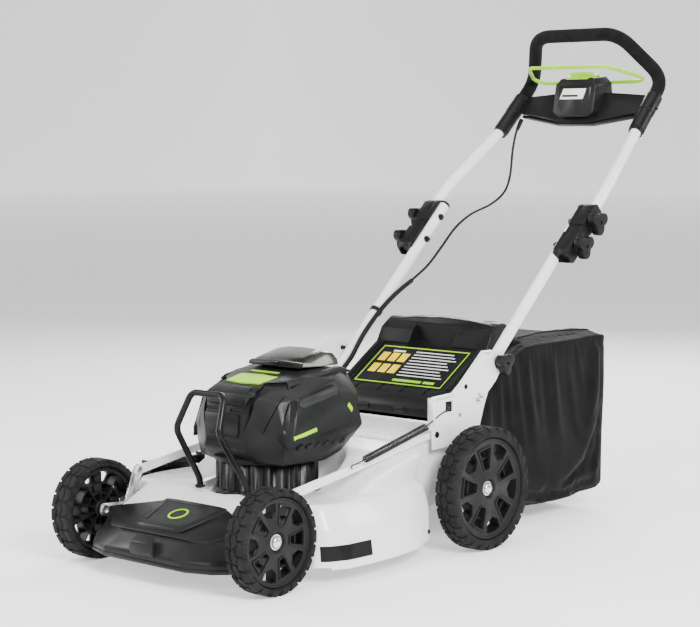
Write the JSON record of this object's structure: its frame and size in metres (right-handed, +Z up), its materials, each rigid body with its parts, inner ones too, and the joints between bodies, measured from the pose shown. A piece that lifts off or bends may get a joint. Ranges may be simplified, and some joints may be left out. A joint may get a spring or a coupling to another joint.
{
  "type": "push lawn mower",
  "caption": "Walk-behind battery lawn mower with steel deck, rear grass bag, single-lever height adjustment and a folding two-tube handle with a bail switch.",
  "frame": {"origin": "on the ground under the middle of the machine's bounding box, standing on its four wheels", "axes": "+Z up, +X towards the mower's left side, +Y towards the handle, so the nose points to -Y"},
  "size_m": [0.614, 1.4899, 1.1016],
  "materials": {
    "white_paint": "gloss",
    "dark_plastic": "satin",
    "black_plastic": "satin",
    "hub_plastic": "satin",
    "tyre_rubber": "matte",
    "zinc": "satin",
    "spring_steel": "satin",
    "blade_steel": "brushed",
    "copper_winding": "satin",
    "smoke_plastic": "gloss",
    "lime": "gloss",
    "lime_coat": "satin",
    "grip_foam": "matte",
    "cable_black": "satin",
    "bag_cloth": "matte"
  },
  "bodies": {
    "chassis": {"deck_shell": "white_paint", "nose_cover": "dark_plastic", "motor_casing": "black_plastic", "motor_stator": "copper_winding", "motor_housing": "dark_plastic", "battery_pack": "black_plastic", "guard_hoop": "black_plastic", "handle_bracket_left": "white_paint", "handle_bracket_right": "white_paint", "pivot_bolt_left": "zinc", "pivot_bolt_right": "zinc", "flap_rod": "zinc", "side_flap_rod": "zinc", "cable_lower": "cable_black", "height_spring": "spring_steel"},
    "rear_axle": {"rear_axle": "zinc", "height_lever_grip": "black_plastic", "wheel_bolt_rear_left": "zinc", "wheel_bolt_rear_right": "zinc"},
    "front_crank_left": {"front_crank_left": "zinc", "wheel_bolt_front_left": "zinc"},
    "link_bar_left": {"link_bar_left": "white_paint"},
    "front_crank_right": {"front_crank_right": "zinc", "wheel_bolt_front_right": "zinc"},
    "link_bar_right": {"link_bar_right": "white_paint"},
    "wheel_front_left": {"tyre_front_left": "tyre_rubber", "hub_front_left": "hub_plastic"},
    "wheel_front_right": {"tyre_front_right": "tyre_rubber", "hub_front_right": "hub_plastic"},
    "wheel_rear_left": {"tyre_rear_left": "tyre_rubber", "hub_rear_left": "hub_plastic"},
    "wheel_rear_right": {"tyre_rear_right": "tyre_rubber", "hub_rear_right": "hub_plastic"},
    "cutter": {"motor_rotor": "blade_steel", "blade": "blade_steel", "blade_bolt": "zinc"},
    "battery_lid": {"battery_lid": "smoke_plastic"},
    "rear_flap": {"rear_flap": "black_plastic"},
    "side_flap": {"side_flap": "black_plastic"},
    "grass_bag": {"bag_fabric": "bag_cloth", "bag_frame": "black_plastic"},
    "lower_handle": {"lower_tube_left": "white_paint", "lower_tube_right": "white_paint", "tube_clamp_inner_left": "black_plastic", "tube_clamp_inner_right": "black_plastic", "cable_upper": "cable_black"},
    "upper_handle": {"tube_clamp_outer_left": "black_plastic", "tube_clamp_outer_right": "black_plastic", "upper_handle": "white_paint", "grip_sleeve": "grip_foam", "control_panel": "black_plastic", "control_box": "dark_plastic"},
    "bail": {"bail_lever": "lime_coat"},
    "start_button": {"start_button": "lime"},
    "clamp_knob_lower_left": {"clamp_knob_lower_left": "black_plastic"},
    "clamp_knob_lower_right": {"clamp_knob_lower_right": "black_plastic"},
    "clamp_knob_upper_left": {"clamp_knob_upper_left": "black_plastic"},
    "clamp_knob_upper_right": {"clamp_knob_upper_right": "black_plastic"},
    "bracket_knob_left": {"bracket_knob_left": "black_plastic"},
    "bracket_knob_right": {"bracket_knob_right": "black_plastic"}
  },
  "joints": [
    {"name": "height_adjust", "type": "hinge", "parent": "chassis", "child": "rear_axle", "pos_m": [0, 0.0003, 0.1114], "axis": [1, 0, 0], "range_deg": [0, 30], "deforming": ["height_spring"]},
    {"name": "front_crank_left_turn", "type": "hinge", "parent": "chassis", "child": "front_crank_left", "pos_m": [0.212, -0.5827, 0.08463], "axis": [1, 0, 0], "range_deg": [0, 30]},
    {"name": "link_bar_left_turn", "type": "hinge", "parent": "front_crank_left", "child": "link_bar_left", "pos_m": [0.2143, -0.5597, 0.17163], "axis": [1, 0, 0], "range_deg": [-30, 0]},
    {"name": "front_crank_right_turn", "type": "hinge", "parent": "chassis", "child": "front_crank_right", "pos_m": [-0.212, -0.5827, 0.08463], "axis": [1, 0, 0], "range_deg": [0, 30]},
    {"name": "link_bar_right_turn", "type": "hinge", "parent": "front_crank_right", "child": "link_bar_right", "pos_m": [-0.2143, -0.5597, 0.17163], "axis": [1, 0, 0], "range_deg": [-30, 0]},
    {"name": "wheel_front_left_spin", "type": "hinge", "parent": "front_crank_left", "child": "wheel_front_left", "pos_m": [0.245, -0.6447, 0.10063], "axis": [1, 0, 0], "continuous": true},
    {"name": "wheel_rear_left_spin", "type": "hinge", "parent": "rear_axle", "child": "wheel_rear_left", "pos_m": [0.283, -0.0617, 0.1274], "axis": [1, 0, 0], "continuous": true},
    {"name": "wheel_front_right_spin", "type": "hinge", "parent": "front_crank_right", "child": "wheel_front_right", "pos_m": [-0.245, -0.6447, 0.10063], "axis": [1, 0, 0], "continuous": true},
    {"name": "wheel_rear_right_spin", "type": "hinge", "parent": "rear_axle", "child": "wheel_rear_right", "pos_m": [-0.283, -0.0617, 0.1274], "axis": [1, 0, 0], "continuous": true},
    {"name": "blade_spin", "type": "hinge", "parent": "chassis", "child": "cutter", "pos_m": [0, -0.4047, 0.12], "axis": [0, 0, 1], "continuous": true},
    {"name": "battery_lid_hinge", "type": "hinge", "parent": "chassis", "child": "battery_lid", "pos_m": [0, -0.2687, 0.388], "axis": [-1, 0, 0], "range_deg": [0, 80]},
    {"name": "rear_flap_hinge", "type": "hinge", "parent": "chassis", "child": "rear_flap", "pos_m": [0, -0.0477, 0.268], "axis": [1, 0, 0], "range_deg": [0, 50]},
    {"name": "side_flap_hinge", "type": "hinge", "parent": "chassis", "child": "side_flap", "pos_m": [-0.27, -0.4147, 0.166], "axis": [0, 1, 0], "range_deg": [0, 65]},
    {"name": "bag_pull_off", "type": "slide", "parent": "chassis", "child": "grass_bag", "axis": [0, 1, 0], "range_m": [0, 0.3]},
    {"name": "handle_fold", "type": "hinge", "parent": "chassis", "child": "lower_handle", "pos_m": [0, -0.0007, 0.302], "axis": [1, 0, 0], "range_deg": [-10, 12], "deforming": ["cable_lower"]},
    {"name": "upper_handle_fold", "type": "hinge", "parent": "lower_handle", "child": "upper_handle", "pos_m": [0, 0.32085, 0.60757], "axis": [1, 0, 0], "range_deg": [0, 120], "deforming": ["cable_upper"]},
    {"name": "bail_turn", "type": "hinge", "parent": "upper_handle", "child": "bail", "pos_m": [0, 0.7163, 0.976], "axis": [-1, 0, 0], "range_deg": [0, 28], "stiffness_Nm_per_rad": 0.4, "springref_deg": -34.38},
    {"name": "start_press", "type": "slide", "parent": "upper_handle", "child": "start_button", "axis": [0, 0, -1], "range_m": [0, 0.004], "stiffness_N_per_m": 500, "springref_m": -0.004},
    {"name": "clamp_knob_lower_left_turn", "type": "hinge", "parent": "lower_handle", "child": "clamp_knob_lower_left", "pos_m": [0.25, 0.32085, 0.60757], "axis": [1, 0, 0], "continuous": true},
    {"name": "clamp_knob_lower_right_turn", "type": "hinge", "parent": "lower_handle", "child": "clamp_knob_lower_right", "pos_m": [-0.25, 0.32085, 0.60757], "axis": [1, 0, 0], "continuous": true},
    {"name": "clamp_knob_upper_left_turn", "type": "hinge", "parent": "upper_handle", "child": "clamp_knob_upper_left", "pos_m": [0.25, 0.37275, 0.65747], "axis": [1, 0, 0], "continuous": true},
    {"name": "clamp_knob_upper_right_turn", "type": "hinge", "parent": "upper_handle", "child": "clamp_knob_upper_right", "pos_m": [-0.25, 0.37275, 0.65747], "axis": [1, 0, 0], "continuous": true},
    {"name": "bracket_knob_left_turn", "type": "hinge", "parent": "chassis", "child": "bracket_knob_left", "pos_m": [0.235, 0.0653, 0.371], "axis": [1, 0, 0], "continuous": true},
    {"name": "bracket_knob_right_turn", "type": "hinge", "parent": "chassis", "child": "bracket_knob_right", "pos_m": [-0.235, 0.0653, 0.371], "axis": [1, 0, 0], "continuous": true}
  ],
  "couplings": [
    {"joint": "front_crank_left_turn", "follows": "height_adjust", "ratio": 1},
    {"joint": "link_bar_left_turn", "follows": "height_adjust", "ratio": -1},
    {"joint": "front_crank_right_turn", "follows": "height_adjust", "ratio": 1},
    {"joint": "link_bar_right_turn", "follows": "height_adjust", "ratio": -1}
  ]
}
